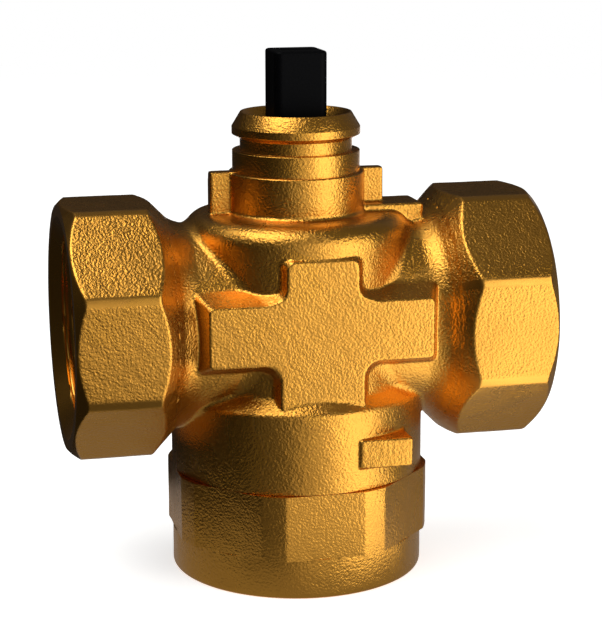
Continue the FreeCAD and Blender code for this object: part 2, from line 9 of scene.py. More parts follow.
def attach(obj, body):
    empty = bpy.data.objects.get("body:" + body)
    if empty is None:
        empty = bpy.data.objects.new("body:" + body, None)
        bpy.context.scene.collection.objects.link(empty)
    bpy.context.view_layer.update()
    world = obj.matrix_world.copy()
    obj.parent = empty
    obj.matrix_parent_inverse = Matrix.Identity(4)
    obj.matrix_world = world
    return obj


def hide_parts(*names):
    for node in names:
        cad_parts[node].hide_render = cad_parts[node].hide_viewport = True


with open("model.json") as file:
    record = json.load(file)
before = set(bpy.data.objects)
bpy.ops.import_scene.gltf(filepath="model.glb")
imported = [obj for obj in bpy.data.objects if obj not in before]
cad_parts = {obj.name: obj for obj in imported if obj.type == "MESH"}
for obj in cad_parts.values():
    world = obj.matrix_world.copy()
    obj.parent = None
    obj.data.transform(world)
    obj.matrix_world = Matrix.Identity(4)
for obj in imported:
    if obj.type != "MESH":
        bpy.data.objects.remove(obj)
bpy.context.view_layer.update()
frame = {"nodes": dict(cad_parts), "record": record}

# A three-way zone valve: the hot-forged body in five closed shells (the middle, the two side ports, the
# foot and the turned collar), and the solids that come with the frame for the stem, its gland, the ball
# and its seats. Shapes are worked out in millimetres with the middle of the ball at (0, 0, 0), and go
# into the meshes in metres with the end face of the foot at z = 0.

MM = 0.001
TURN = 2 * math.pi
AXIS_HEIGHT = 42.75          # end face of the foot to the axis of the side ports

# The side ports
PORT_REACH = 39.6            # stem axis to the end face
FLAT = 20.5                  # half the width across flats
TURNED = 21.88               # the octagon's corners are turned to this radius
END_BEVEL = 1.66             # taken off the radius at the end face
PORT_BACK = 26.2             # where the octagon ends and the cone begins
SEAM = 23.4                  # where a port's shell meets the middle one
RUN = 16.5                   # radius of the round run between the ports

# The upright core, as radii and heights
BARREL = 18.9
SHOULDER = 18.0              # top of the barrel
NECK = 11.25
NECK_TOP = 24.8

# The foot
FOOT = 21.3                  # radius of its round parts
FOOT_RIM = -11.9             # lower edge of the bevel round its top
FOOT_SEAM = -24.4            # where the foot's shell meets the middle one
FLATS_TOP = -25.1
FLATS_BOTTOM = -36.0
FOOT_FLAT = 21.2             # half the width across its flats
FOOT_CORNER = 22.2           # its corners are turned to this radius
CREASE = 0.14                # depth of the line above the flats
FOOT_MACHINED = -42.0        # below this the foot has been turned smooth
FOOT_ROUND = 0.6             # at the outer edge of the end face

# The raised cross on the front, each bar of it as (half width, bottom, top)
CROSS_FACE = 19.3            # stem axis to its face
CROSS_DEPTH = 6.5
CROSS_DRAFT = math.tan(math.radians(22.0))
CROSS_ARMS = (18.5, -3.7, 6.05)
CROSS_TOP = (5.9, -3.7, 12.9)
CROSS_LEG = (6.9, -13.0, 6.05)

# Blocks that stand out of the forging, each as two opposite corners
BOSS = ((5.65, -21.0, -21.35), (14.7, -14.0, -16.45))
LUG = ((9.3, -1.25, 16.0), (14.7, 1.25, 25.0))
TONGUE = ((9.3, -4.2, 14.6), (20.9, 4.2, 19.15))

# The bores: radii, and the heights or distances from the stem axis where they end
WATERWAY = 11.05
POCKET, POCKET_FLOOR = 12.6, 17.6              # for the insert of a side seat
FOOT_POCKET, FOOT_POCKET_FLOOR = 15.0, -17.6
CHAMBER, CHAMBER_TOP = 14.4, 14.5              # for the ball
FLANGE, FLANGE_TOP = 7.6, 17.0                 # for the stem's flange
STEM = 6.06
GLAND, GLAND_FLOOR = 8.0, 20.0
MOUTH_ROUND = 0.4

# The threads: crests, roots and pitch of an internal G 1 thread, the mouth before it and the relief
MINOR = 15.15
MAJOR = 16.63
PITCH = 2.309
THREAD_STEEPNESS = 1.875     # of the flanks, against the softened crests and roots
MOUTH = 18.4
RELIEF = 16.7
RELIEF_WIDTH = 2.0

# The collar's outline, as (radius, height, rounding)
COLLAR = ((GLAND, 24.2, 0), (10.6, 24.2, 0), (10.6, 28.3, 0.15), (9.3, 28.3, 0.12), (9.3, 30.3, 0.12),
          (10.65, 31.0, 0.15), (10.65, 32.2, 0.15), (9.2, 34.6, 0.15), (8.9, 34.6, 0.1),
          (GLAND, 33.0, 0.1), (GLAND, 31.88, 0), (8.8, 31.88, 0), (8.8, 30.8, 0), (GLAND, 30.8, 0))

WAVINESS = 0.0016            # height of the forging's slow waves, as a share of their length

# How the meshes are made
CELL = SEAM / 66             # the seams then lie in the middle of the grid's cells
WIDE_CELL = 2.0              # for walls that nothing can see
WALL_DEPTH = 0.15            # the walls begin this far under the outside of the forging
BORE_MARGIN = 0.6            # walls nearer than this to a bore can show through a port
TUCK = 0.5                   # how far a shell goes on past its seam, inside the middle one
SHARP = 32                   # edges over this many degrees are shaded as sharp
THREAD_ROWS = 14             # rows of vertices in each turn of a thread
PORT_SEARCH = (15.0, 23.0)   # radii that the outside of a side port lies between


# Distances, in millimetres, below zero inside the metal

def within(a, b, radius):
    """Where two solids overlap, with the edge between them rounded to a radius."""
    corner = np.hypot(np.maximum(a + radius, 0), np.maximum(b + radius, 0))
    return np.minimum(np.maximum(a, b), -radius) + corner


def joined(a, b, radius):
    """Two solids grown together, with a fillet of a radius in the corner between them."""
    corner = np.hypot(np.maximum(radius - a, 0), np.maximum(radius - b, 0))
    return np.maximum(np.minimum(a, b), radius) - corner


def octagon(a, b):
    """Distance beyond the nearest of eight flats round an axis, from the two coordinates across it."""
    a, b = abs(a), abs(b)
    return np.maximum(np.maximum(a, b), (a + b) / math.sqrt(2)) - FLAT


def unevenness(x, y, z):
    """How far the forging stands off its drawing: slow waves in six directions, a few hundredths deep."""
    rng = np.random.default_rng(7)
    total = 0.0
    for length in (9.0, 7.0, 5.2, 4.1, 3.3, 2.6):
        way = rng.normal(size=3)
        way *= TURN / length / np.linalg.norm(way)
        total = total + length * np.sin(way[0] * x + way[1] * y + way[2] * z + rng.uniform(0, TURN))
    return total * WAVINESS


def port_bevel(u, r):
    """The 45 degree bevel that the end of a side port is turned to."""
    return (r + u - (TURNED - END_BEVEL + PORT_REACH)) / math.sqrt(2)


def port_outside(u, across, up):
    """A side port: an octagon turned round at its corners, bevelled at its end, coned at its back."""
    r = np.hypot(across, up)
    blank = within(octagon(across, up), r - TURNED, 0.12)
    cone = (r - u + PORT_BACK - TURNED) / math.sqrt(2)
    return within(within(blank, port_bevel(u, r), 0.15), cone, 0.15)


def cross(x, y, z):
    """The raised cross: three bars, their sides sloping out with depth, joined with round corners."""
    depth = y + CROSS_FACE
    slope = math.cos(math.atan(CROSS_DRAFT))

    def bar(half, low, high, corner):
        sides = (abs(x) - half - CROSS_DRAFT * depth) * slope
        ends = np.maximum(z - high - CROSS_DRAFT * depth, low - z - CROSS_DRAFT * depth) * slope
        return within(sides, ends, corner)

    sides = joined(bar(*CROSS_ARMS, 0.8), bar(*CROSS_TOP, 1.3), 1.3)
    sides = joined(sides, bar(*CROSS_LEG, 0.8), 2.5)
    return np.maximum(within(sides, -depth, 0.3), depth - CROSS_DEPTH)


def box(x, y, z, low, high, edge):
    """A block between two corners with rounded edges."""
    spans = [np.maximum(low[n] - value, value - high[n]) for n, value in enumerate((x, y, z))]
    return within(within(spans[0], spans[1], edge), spans[2], edge)


def forging(x, y, z):
    """The outside of the middle of the body, everything grown together with its fillets."""
    r = np.hypot(y, z)
    rho = np.hypot(x, y)
    u = abs(x)
    run = joined(r - RUN, port_outside(u, y, z), 1.5)
    barrel = within(rho - BARREL, z - SHOULDER, 3.5)
    foot = within(rho - FOOT, (rho + z - FOOT - FOOT_RIM) / math.sqrt(2), 0.35)
    solid = joined(run, joined(barrel, foot, 0.5), 1.0)
    solid = joined(solid, cross(x, y, z), 0.35)
    solid = joined(solid, box(x, y, z, *BOSS, 0.55), 0.3)
    neck = within(rho - NECK, z - NECK_TOP, 0.25)
    solid = joined(solid, neck, 0.8)
    solid = joined(solid, box(u, y, z, *LUG, 0.3), 0.4)
    solid = joined(solid, box(x, y, z, *TONGUE, 0.5), 0.5)
    return solid + unevenness(x, y, z)


def bores(x, y, z):
    """The space inside: the side bores, the ball chamber with the foot's bore, and the stem's way out."""
    r = np.hypot(y, z)
    rho = np.hypot(x, y)
    side = np.minimum(np.maximum(r - POCKET, POCKET_FLOOR - abs(x)), r - WATERWAY)
    below = np.maximum(rho - FOOT_POCKET, z - FOOT_POCKET_FLOOR)
    chamber = np.minimum(below, np.maximum(rho - CHAMBER, z - CHAMBER_TOP))
    stem = np.minimum(np.maximum(rho - FLANGE, z - FLANGE_TOP), rho - STEM)
    gland = np.maximum(rho - GLAND, GLAND_FLOOR - z)
    return np.minimum(np.minimum(side, chamber), np.minimum(stem, gland))


def middle(x, y, z):
    """The middle shell: the forging less its bores, cut at the seams to the ports and the foot, where
    the mouths of the bores are rounded."""
    inside = within(within(-bores(x, y, z), abs(x) - SEAM, MOUTH_ROUND), FOOT_SEAM - z, MOUTH_ROUND)
    return np.maximum(forging(x, y, z), inside)


# Skins

def slope_of(field, points, step=0.02):
    """The gradient of a distance at many points, by central differences."""
    grad = np.empty_like(points)
    for n in range(3):
        shift = np.zeros(3)
        shift[n] = step
        grad[:, n] = (field(*(points + shift).T) - field(*(points - shift).T)) / (2 * step)
    return grad


def skin(field, low, high, cell):
    """A quad mesh on the zero surface of a distance.

    Each cell of a grid that the surface passes through gets one vertex, at the mean of the places
    where its twelve edges cross the surface, moved along the gradient onto the surface. Each grid
    edge that crosses the surface gets one quad between the four cells round it.
    """
    axes = [low[n] + cell * np.arange(math.ceil((high[n] - low[n]) / cell) + 1) for n in range(3)]
    value = field(*np.meshgrid(*axes, indexing="ij", sparse=True))
    inside = value < 0
    count = sum(inside[i:inside.shape[0] - 1 + i, j:inside.shape[1] - 1 + j, k:inside.shape[2] - 1 + k]
                .astype(np.int8) for i in (0, 1) for j in (0, 1) for k in (0, 1))
    cells = np.argwhere((count > 0) & (count < 8))
    number = np.full(count.shape, -1, np.int64)
    number[tuple(cells.T)] = np.arange(len(cells))
    total = np.zeros((len(cells), 3))
    hits = np.zeros(len(cells))
    quads = []
    for n in range(3):
        p, q = [m for m in range(3) if m != n]
        along = np.eye(3, dtype=int)[n]
        for i in (0, 1):
            for j in (0, 1):
                near = cells.copy()
                near[:, p] += i
                near[:, q] += j
                a = value[tuple(near.T)]
                b = value[tuple((near + along).T)]
                crossing = (a < 0) != (b < 0)
                share = np.where(crossing, a / np.where(crossing, a - b, 1.0), 0.0)
                place = near + share[:, None] * along
                total += np.where(crossing[:, None], place, 0.0)
                hits += crossing
        first = np.moveaxis(inside, n, 0)
        starts = np.argwhere(first[:-1] != first[1:])
        order = [n] + [m for m in range(3) if m != n]
        at = np.empty_like(starts)
        at[:, order] = starts
        corners = []
        for i, j in ((0, 0), (1, 0), (1, 1), (0, 1)):
            corner = at.copy()
            corner[:, p] -= 1 - i
            corner[:, q] -= 1 - j
            corners.append(number[tuple(corner.T)])
        quad = np.stack(corners, axis=1)
        leaving = inside[tuple(at.T)]
        if n == 1:
            leaving = ~leaving
        quad[~leaving] = quad[~leaving][:, ::-1]
        quads.append(quad)
    points = np.array([axes[n][0] for n in range(3)]) + cell * total / hits[:, None]
    for _ in range(3):
        grad = slope_of(field, points)
        move = field(*points.T)[:, None] * grad / np.maximum((grad ** 2).sum(1), 0.25)[:, None]
        points -= np.clip(move, -cell / 2, cell / 2)
    return points, np.concatenate(quads)


def pressed(points, field, axis, level, cell):
    """Vertices next to a seam's edge, moved onto its plane and, within the plane, onto the surface."""
    near = (abs(points[:, axis] - level) < 0.51 * cell) & (abs(field(*points.T)) < 0.6 * cell)
    edge = points[near]
    edge[:, axis] = level
    for _ in range(4):
        grad = slope_of(field, edge)
        grad[:, axis] = 0
        edge -= field(*edge.T)[:, None] * grad / np.maximum((grad ** 2).sum(1), 0.2)[:, None]
    points[near] = edge


def gathered(points, quads, chosen, cell):
    """The same mesh with the chosen vertices gathered to one for each cell of a wider grid, as points,
    quads, triangles, how many vertices were left alone, and the group that each chosen one went to."""
    _, group = np.unique(np.floor(points[chosen] / cell).astype(np.int64), axis=0, return_inverse=True)
    group = group.ravel()
    centres = np.stack([np.bincount(group, points[chosen, n]) for n in range(3)], axis=1)
    centres /= np.bincount(group)[:, None]
    alone = int((~chosen).sum())
    renumber = np.empty(len(points), np.int64)
    renumber[~chosen] = np.arange(alone)
    renumber[chosen] = alone + group
    faces = renumber[quads]
    repeats = faces == np.roll(faces, -1, axis=1)
    opposite = (faces[:, 0] == faces[:, 2]) | (faces[:, 1] == faces[:, 3])
    whole = faces[(repeats.sum(1) == 0) & ~opposite]
    pinched = (repeats.sum(1) == 1) & ~opposite
    thirds = faces[pinched][~repeats[pinched]].reshape(-1, 3)
    return np.concatenate([points[~chosen], centres]), whole, thirds, alone, group


def coarsened(points, quads, chosen, cell):
    """The same mesh with the chosen vertices gathered, except those where it would no longer be closed:
    where an edge would not lie between two faces, or two faces would have the same corners."""
    chosen = chosen.copy()
    while True:
        new, whole, thirds, alone, group = gathered(points, quads, chosen, cell)
        ends = np.concatenate([np.stack([block, np.roll(block, -1, axis=1)], axis=2).reshape(-1, 2)
                               for block in (whole, thirds)])
        edges, uses = np.unique(np.sort(ends, axis=1), axis=0, return_counts=True)
        wrong = [edges[uses != 2].ravel()]
        for block in (whole, thirds):
            corners, uses = np.unique(np.sort(block, axis=1), axis=0, return_counts=True)
            wrong.append(corners[uses > 1].ravel())
        wrong = np.unique(np.concatenate(wrong))
        wrong = wrong[wrong >= alone] - alone
        if len(wrong) == 0:
            return new, whole, thirds
        chosen[np.flatnonzero(chosen)[np.isin(group, wrong)]] = False


def ring(rows, angles, axis):
    """Rows of (place along an axis, radius) at angles round it, as a grid of points."""
    across, up = (n for n in range(3) if n != axis)
    grid = np.empty((len(rows), len(angles), 3))
    for row, (place, radius) in zip(grid, rows):
        row[:, axis] = place
        row[:, across] = radius * np.cos(angles)
        row[:, up] = radius * np.sin(angles)
    return grid


def ring_faces(rows, columns):
    """Quads over a grid whose rows and whose columns both close into rings."""
    i = np.arange(rows)[:, None]
    j = np.arange(columns)[None, :]
    up, over = (i + 1) % rows, (j + 1) % columns
    return np.stack(np.broadcast_arrays(i * columns + j, i * columns + over, up * columns + over,
                                        up * columns + j), axis=-1).reshape(-1, 4)


def faces_from(row, rows, columns):
    """Which faces of a ring lie between one row and the last."""
    number = np.arange(rows)
    return np.repeat((number >= row) & (number < rows - 1), columns)


def mesh_piece(name, points, faces, materials, body, sharp=None, normals=None, bands=None):
    """Put worked-out vertices and faces into an object that rides on a body.

    Sharp is the angle over which an edge is shaded as sharp, normals shade each vertex, and bands give
    the number of each face's material.
    """
    mesh = bpy.data.meshes.new(name)
    mesh.from_pydata([], [], [])
    points = (points + np.array([0, 0, AXIS_HEIGHT])) * MM
    sizes = np.concatenate([np.full(len(block), block.shape[1]) for block in faces])
    loops = np.concatenate([block.ravel() for block in faces])
    mesh.vertices.add(len(points))
    mesh.vertices.foreach_set("co", points.astype(np.float32).ravel())
    mesh.loops.add(len(loops))
    mesh.loops.foreach_set("vertex_index", loops.astype(np.int32))
    mesh.polygons.add(len(sizes))
    mesh.polygons.foreach_set("loop_start", np.concatenate([[0], np.cumsum(sizes)[:-1]]).astype(np.int32))
    mesh.polygons.foreach_set("use_smooth", np.ones(len(sizes), bool))
    if bands is not None:
        mesh.polygons.foreach_set("material_index", bands.astype(np.int32))
    mesh.update(calc_edges=True)
    mesh.validate()
    if sharp is not None:
        mesh.set_sharp_from_angle(angle=math.radians(sharp))
    if normals is not None:
        mesh.normals_split_custom_set_from_vertices(normals.tolist())
    piece = bpy.data.objects.new(name, mesh)
    bpy.context.scene.collection.objects.link(piece)
    for material in materials:
        mesh.materials.append(material)
    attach(piece, body)
    return piece


# The body's pieces

def thread_radius(depth, angle):
    """An internal pipe thread: a zigzag along the bore, one pitch on for each turn, between the crest
    and root radii and softened there."""
    phase = (depth / PITCH + angle / TURN) % 1.0
    zigzag = 4 * abs(phase - 0.5) - 1
    wave = np.tanh(THREAD_STEEPNESS * zigzag) / math.tanh(THREAD_STEEPNESS)
    return (MAJOR + MINOR) / 2 + (MAJOR - MINOR) / 2 * wave


def bore_rows(angles, thread_end, relief_end):
    """Rows of (depth from the end face, radius), from the machined face in to the relief."""
    rim = TURNED - END_BEVEL
    rows = [(0.0, radius) for radius in (rim - 0.6, (rim + MOUTH) / 2, MOUTH)]

    # Down the bevel of the mouth, and along the thread where it is deeper than the bevel
    lead = np.linspace(0, MOUTH - MAJOR - 0.05, 4)[1:]
    rows += [(depth, MOUTH - depth) for depth in lead]
    for depth in np.arange(lead[-1] + 0.05, thread_end, PITCH / THREAD_ROWS):
        rows.append((depth, np.maximum(thread_radius(depth, angles), MOUTH - depth)))
    rows.append((thread_end, thread_radius(thread_end, angles)))
    rows += [(depth, RELIEF) for depth in (thread_end, (thread_end + relief_end) / 2, relief_end)]
    return rows


def radius_on(field, station, angles, low, high):
    """Radius at which a distance is zero, going out from an axis, found by halving the span."""
    low = np.full_like(angles, low)
    high = np.full_like(angles, high)
    for _ in range(24):
        half = (low + high) / 2
        outside = field(station, half, angles) > 0
        high = np.where(outside, half, high)
        low = np.where(outside, low, half)
    return (low + high) / 2


def round_eight(radius, flat, on_flat, between):
    """Angles round an axis, in even steps on each of the eight flats and in even steps on the round
    corners between them, so that a column lies on each edge where a radius cuts a flat."""
    half = math.acos(flat / radius)
    sector = np.concatenate([np.linspace(-half, half, on_flat + 1),
                             np.linspace(half, TURN / 8 - half, between + 1)[1:-1]])
    return (sector + TURN / 8 * np.arange(8)[:, None]).ravel()


def middle_shell(brass):
    """The middle of the forging: a skin on its distance, fine where it shows and coarse in its walls."""
    # A cell or so past the seams, and well past the metal everywhere else
    low, high = (-SEAM - 1.5 * CELL, -22.4, FOOT_SEAM - 1.5 * CELL), (SEAM + CELL, 22.4, 26.0)
    points, quads = skin(middle, low, high, CELL)
    for axis, level in ((0, SEAM), (0, -SEAM), (2, FOOT_SEAM)):
        pressed(points, forging, axis, level, CELL)
    in_wall = forging(*points.T) < -WALL_DEPTH
    behind_ball = (abs(points[:, 0]) < POCKET_FLOOR + 0.2) & (points[:, 2] > FOOT_POCKET_FLOOR - 0.2)
    unseen = in_wall & ((abs(bores(*points.T)) > BORE_MARGIN) | behind_ball)
    points, whole, thirds = coarsened(points, quads, unseen, WIDE_CELL)
    outside = forging(*points.T) > -WALL_DEPTH
    normals = np.where(outside[:, None], slope_of(forging, points), slope_of(middle, points))
    normals /= np.linalg.norm(normals, axis=1)[:, None]
    piece = mesh_piece("body_middle", points, [whole, thirds], [brass], "housing",
                       normals=normals)
    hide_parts("valve_body")


def port(name, side, brass, turned):
    """A side port: a ring-shaped shell, its outside found along rays from its axis."""
    angles = round_eight(TURNED, FLAT, on_flat=50, between=6)

    def field(u, radius, angle):
        y, z = radius * np.cos(angle), radius * np.sin(angle)
        return port_outside(u, y, z) + unevenness(u * side, y, z)

    # Close together where the cone and the bevel cut the flats
    stations = np.concatenate([[SEAM, 23.7], np.arange(24.0, 27.4, 0.2), np.arange(27.5, 37.6, 0.45),
                               np.arange(37.7, 39.6, 0.14), [PORT_REACH]])
    outside = [(u, radius_on(field, u, angles, *PORT_SEARCH)) for u in stations]
    rows = [(SEAM - TUCK, outside[0][1] - 0.75)] + outside
    end_face = len(rows) - 1
    bore = bore_rows(angles, PORT_REACH - SEAM - RELIEF_WIDTH, PORT_REACH - SEAM)
    rows += [(PORT_REACH - depth, radius) for depth, radius in bore]
    rows.append((SEAM - TUCK, RELIEF + 0.1))
    grid = ring(rows, angles, 0)
    grid[..., 0] *= side
    faces = ring_faces(len(rows), len(angles))
    if side < 0:
        faces = faces[:, ::-1]

    # The turned parts: the bore and the end face, the bevel, and the round corners of the octagon
    x, y, z = grid.reshape(-1, 3)[faces].mean(axis=1).T
    on_flat = FLAT * np.hypot(y, z) / (octagon(y, z) + FLAT)
    bands = np.maximum(port_bevel(abs(x), on_flat), on_flat - TURNED) > 0
    bands |= faces_from(end_face, len(rows), len(angles))
    piece = mesh_piece(name, grid.reshape(-1, 3), [faces], [brass, turned], "housing",
                       sharp=SHARP, bands=bands)
    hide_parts("valve_body")


def foot_radius_at(z, angles):
    """The foot from its upper rim down: an octagon turned at its corners, and round below it."""
    c, s = abs(np.cos(angles)), abs(np.sin(angles))
    flats = FOOT_FLAT / np.maximum(np.maximum(c, s), (c + s) / math.sqrt(2))
    return np.minimum(flats, FOOT_CORNER) if z >= FLATS_BOTTOM else np.full_like(angles, FOOT)


def foot(brass, turned):
    """The foot: a ring-shaped shell with its flats, the line above them and the threaded port."""
    angles = round_eight(FOOT_CORNER, FOOT_FLAT, on_flat=50, between=12)
    levels = np.concatenate([np.linspace(FLATS_TOP, FLATS_BOTTOM, 23), [FLATS_BOTTOM - 0.02],
                             np.arange(-36.7, FOOT_MACHINED, -0.8), [FOOT_MACHINED - 0.15]])
    rows = [(FOOT_SEAM + TUCK, FOOT - 0.4), (FOOT_SEAM, FOOT), (FLATS_TOP + 0.12, FOOT),
            (FLATS_TOP, FOOT - CREASE)] + [(z, foot_radius_at(z, angles)) for z in levels]
    rows += [(FOOT_ROUND * (1 - math.sin(t)) - AXIS_HEIGHT, FOOT - FOOT_ROUND * (1 - math.cos(t)))
             for t in np.linspace(0, math.pi / 2, 5)[1:]]
    rows = [(z, radius - unevenness(radius * np.cos(angles), radius * np.sin(angles), z)
             if z > FOOT_MACHINED else radius) for z, radius in rows]
    end_face = len(rows) - 1
    bore = bore_rows(angles, AXIS_HEIGHT + FOOT_SEAM - RELIEF_WIDTH, AXIS_HEIGHT + FOOT_SEAM)
    rows += [(depth - AXIS_HEIGHT, radius) for depth, radius in bore[1:]]
    rows.append((FOOT_SEAM + TUCK, RELIEF + 0.1))
    grid = ring(rows, angles, 2)
    faces = ring_faces(len(rows), len(angles))[:, ::-1]
    piece = mesh_piece("body_foot", grid.reshape(-1, 3), [faces], [brass, turned], "housing",
                       sharp=SHARP, bands=faces_from(end_face, len(rows), len(angles)))
    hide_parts("valve_body")


def rounded(profile, steps=3):
    """A closed outline of (radius, height, rounding), each corner cut by an arc of its rounding."""
    corners = np.array(profile, float)
    before, after = np.roll(corners, 1, axis=0), np.roll(corners, -1, axis=0)
    path = []
    for (r, z, size), last, following in zip(corners, before, after):
        here = np.array([r, z])
        if size == 0:
            path.append(here)
            continue
        back, ahead = last[:2] - here, following[:2] - here
        back, ahead = back / np.linalg.norm(back), ahead / np.linalg.norm(ahead)
        half = math.acos(np.clip(back @ ahead, -1, 1)) / 2
        reach = size / math.tan(half)
        for t in np.linspace(0, 1, steps + 1):
            path.append((here + back * reach) * (1 - t) ** 2 + here * 2 * t * (1 - t)
                        + (here + ahead * reach) * t ** 2)
    return np.array(path)


def collar(turned):
    """The collar, its outline carried round the stem axis: ring, groove, barb and chamfered rim outside,
    the gland's bore with the clip's groove inside."""
    columns = 256
    path = rounded(COLLAR)
    grid = ring([(z, r) for r, z in path], np.arange(columns) * TURN / columns, 2)
    piece = mesh_piece("body_collar", grid.reshape(-1, 3), [ring_faces(len(path), columns)], [turned],
                       "housing", sharp=SHARP)
    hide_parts("valve_body")


# Finishes

def colour(code):
    """Linear colour of an sRGB hex value."""
    parts = [int(code[n:n + 2], 16) / 255 for n in (0, 2, 4)]
    return [c / 12.92 if c <= 0.04045 else ((c + 0.055) / 1.055) ** 2.4 for c in parts] + [1.0]


def add(tree, kind, links=None, **settings):
    """Add a node, set its sockets and properties, and link other nodes' outputs to its inputs.

    A socket is given as in_ with its name or its number. On a MapRange, 1 and 2 are the span that it
    takes and 3 and 4 the span that it gives. On a Mix, 6 and 7 are its two colours.
    """
    node = tree.nodes.new("ShaderNode" + kind)
    for key, value in settings.items():
        if key.startswith("in_"):
            key = key[3:]
            node.inputs[int(key) if key.isdigit() else key.replace("_", " ")].default_value = value
        else:
            setattr(node, key, value)
    for key, output in (links or {}).items():
        tree.links.new(output, node.inputs[key])
    return node


def finish(name, base, gloss, grain, drift=(6.0, 2.0), dark=None, **sockets):
    """A finish: gloss that drifts over the surface between two roughnesses, tone that drifts with it
    from a darker colour where one is given, and a raised grain.

    Grain is how wide and how high it is in millimetres, drift how wide in millimetres and how detailed.
    """
    material = bpy.data.materials.new(name)
    material.use_nodes = True
    tree = material.node_tree
    tree.nodes.clear()
    shader = add(tree, "BsdfPrincipled")
    add(tree, "OutputMaterial", {"Surface": shader.outputs[0]})
    where = add(tree, "TexCoord").outputs["Object"]
    patches = add(tree, "TexNoise", {"Vector": where}, in_Scale=1 / (drift[0] * MM), in_Detail=drift[1])
    rough = add(tree, "MapRange", {0: patches.outputs[0]}, in_3=gloss[0], in_4=gloss[1])
    tree.links.new(rough.outputs[0], shader.inputs["Roughness"])
    if dark:
        tone = add(tree, "Mix", {0: patches.outputs[0]}, data_type="RGBA", in_6=colour(dark),
                   in_7=colour(base))
        tree.links.new(tone.outputs[2], shader.inputs["Base Color"])
    else:
        shader.inputs["Base Color"].default_value = colour(base)
    for key, value in sockets.items():
        shader.inputs[key.replace("_", " ")].default_value = value
    bumps = add(tree, "TexNoise", {"Vector": where}, in_Scale=1 / (grain[0] * MM), in_Detail=2.0)
    raised = add(tree, "Bump", {"Height": bumps.outputs[0]}, in_Distance=grain[1] * MM, in_Strength=1.0)
    tree.links.new(raised.outputs[0], shader.inputs["Normal"])
    return material


# Hot-forged and shot-blasted brass: golden bronze, satin, with a grain like orange peel
forged_brass = finish("hot_forged_blasted_brass", "DC9F40", (0.33, 0.22), (0.40, 0.125), (9.0, 3.0), "CE913B",
                      Metallic=1.0)
# The same brass where it was turned after forging: as satin, but smooth
turned_brass = finish("turned_brass", "DA9E40", (0.33, 0.22), (0.5, 0.008), (9.0, 3.0), "CE923D",
                      Metallic=1.0)
# The collar was turned and then blasted with the rest: a flatter peel
collar_brass = finish("turned_and_blasted_brass", "DC9F40", (0.32, 0.21), (0.40, 0.10), (9.0, 3.0), "CE913B",
                      Metallic=1.0)
# Glass-filled nylon, moulded: near black, dull, faintly pitted
moulded_black = finish("glass_filled_nylon", "020203", (0.56, 0.45), (0.5, 0.012), Specular_IOR_Level=0.05)
# PTFE, turned: white and waxy
white_ptfe = finish("turned_ptfe", "EDEDE6", (0.4256, 0.342), (0.5, 0.01))
# EPDM rubber, moulded: black and dull
black_epdm = finish("moulded_epdm", "141414", (0.56, 0.45), (0.5, 0.01))
# Brass, hard-chromed and polished: a grey mirror
chromed_brass = finish("hard_chromed_brass", "CFCFD2", (0.112, 0.09), (0.5, 0.002), Metallic=1.0)
# Stainless steel, stamped from sheet: grey, half bright
clip_steel = finish("stamped_stainless_steel", "A9A9A6", (0.336, 0.27), (0.5, 0.006), Metallic=1.0)

# The finish of each of the frame's solids, by its slot
FINISHES = {
    "forged_brass": forged_brass, "turned_brass": turned_brass, "black_polymer": moulded_black,
    "white_polymer": white_ptfe, "black_rubber": black_epdm, "plated_ball": chromed_brass,
    "spring_steel": clip_steel}
for part in frame["record"]["subparts"]:
    node = frame["nodes"][part["node"]]
    for n in range(max(len(node.material_slots), 1)):
        if n >= len(node.material_slots):
            node.data.materials.append(None)
        node.material_slots[n].material = FINISHES[part["material_slot"]]

middle_shell(forged_brass)
port("body_port_a", -1, forged_brass, turned_brass)
port("body_port_b", 1, forged_brass, turned_brass)
foot(forged_brass, turned_brass)
collar(collar_brass)


# The stage. Sizes are in metres. Bearings are in degrees, from the front towards port B, and a brightness
# of 1 is white.

SURROUND = 0.11              # brightness of the tent, and of the light that comes from all round
KEY = 2.35                   # brightness of the key lamp and of the floor that it lights
FLOOR_REACH = 12.0
FLOOR_FADE = (0.25, 0.9)     # distances between which the floor goes over to white
CARD_LEVEL = 0.0008          # cards lie this far over the floor
TENT = 1.6                   # its radius, and how far the cards go

CAMERA_BEARING, CAMERA_HEIGHT, CAMERA_ROLL = -13.254, 12.932, -0.073
CAMERA_DISTANCE = 0.3225     # from the middle of the ball
LENS = 107.84                # in millimetres, for a picture 36 mm high
SENSOR_HEIGHT = 36.0
SHIFT = (0.0078, -0.0052)


def lying(near, far):
    """The profile of a card that lies on the floor from one distance to another."""
    return [(near, CARD_LEVEL), (far, CARD_LEVEL)]


# What the bright metal reflects, kept out of the picture and off everything else: first and last
# bearing, a profile of (distance, height) and a brightness
CARDS = (
    ("tent", -180, 180, [(TENT * math.cos(t), TENT * math.sin(t) + 0.002)
                         for t in np.linspace(0, math.pi / 2, 13)], SURROUND),
    ("card_under", -180, 180, [(0.0, 0.0002), (0.085, 0.0002)], 0.3),
    ("card_key_near", 21, 62, lying(0.032, 0.055), 0.7 * KEY),
    ("card_key", 21, 62, lying(0.055, 0.62), KEY),
    ("card_side", -12, 21, lying(0.032, 0.62), 0.6),
    ("card_right", 62, 145, lying(0.07, TENT), 0.18),
    ("card_front", -50, -12, lying(0.035, TENT), 0.10),
    ("card_left", -180, -50, lying(0.05, TENT), 0.02),
    ("wall_left", -210, -40, [(0.7, 0.0), (0.7, 0.42)], 0.02))

